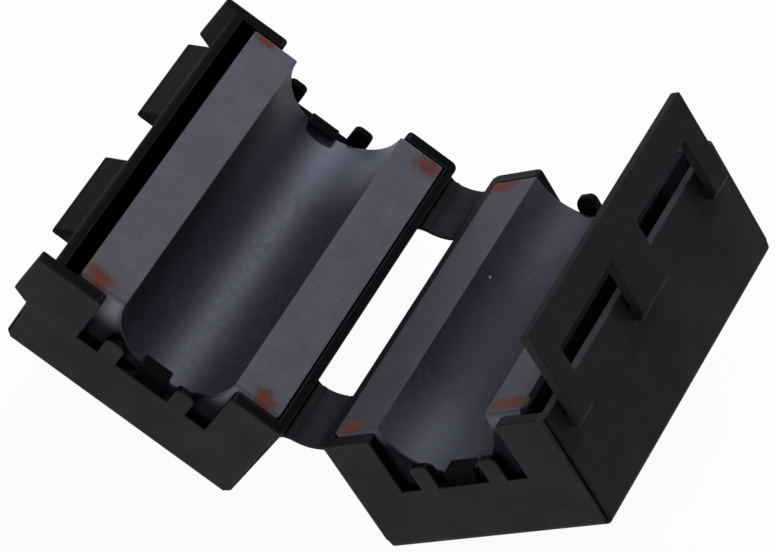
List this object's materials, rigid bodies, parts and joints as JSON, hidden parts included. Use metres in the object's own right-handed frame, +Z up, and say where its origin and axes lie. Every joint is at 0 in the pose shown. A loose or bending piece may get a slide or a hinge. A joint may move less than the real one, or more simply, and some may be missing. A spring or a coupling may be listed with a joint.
{
  "type": "clip-on ferrite bead",
  "caption": "Hinged black plastic clip case, standing open, with a split ferrite core whose half-round bores close around a cable; an E-shaped sprung latch snaps over barbs.",
  "frame": {"origin": "centre of the bounding box at its foot, on the surface that the open case stands on, under the hinge", "axes": "+X from the catch half to the latch half, +Y along the hinge and the cable, +Z up; the hinge axis is parallel to Y above the origin"},
  "size_m": [0.0564, 0.036, 0.0286],
  "materials": {
    "case": "matte moulded",
    "ferrite": "ground and sintered"
  },
  "bodies": {
    "catch_half": {"catch_tray": "case", "catch_core": "ferrite", "hinge_straps": "case"},
    "latch_half": {"latch_tray": "case", "latch_core": "ferrite"},
    "latch_bar": {"latch_plate": "case"}
  },
  "joints": [
    {"name": "fold", "type": "hinge", "parent": "catch_half", "child": "latch_half", "pos_m": [0, 0, 0.00952], "axis": [0, -1, 0], "range_deg": [-68, 120.5], "deforming": ["hinge_straps"]},
    {"name": "latch_flex", "type": "hinge", "parent": "latch_half", "child": "latch_bar", "pos_m": [0.02434, 0, 0.01963], "axis": [0, 1, 0], "range_deg": [0, 16], "stiffness_Nm_per_rad": 0.25}
  ]
}
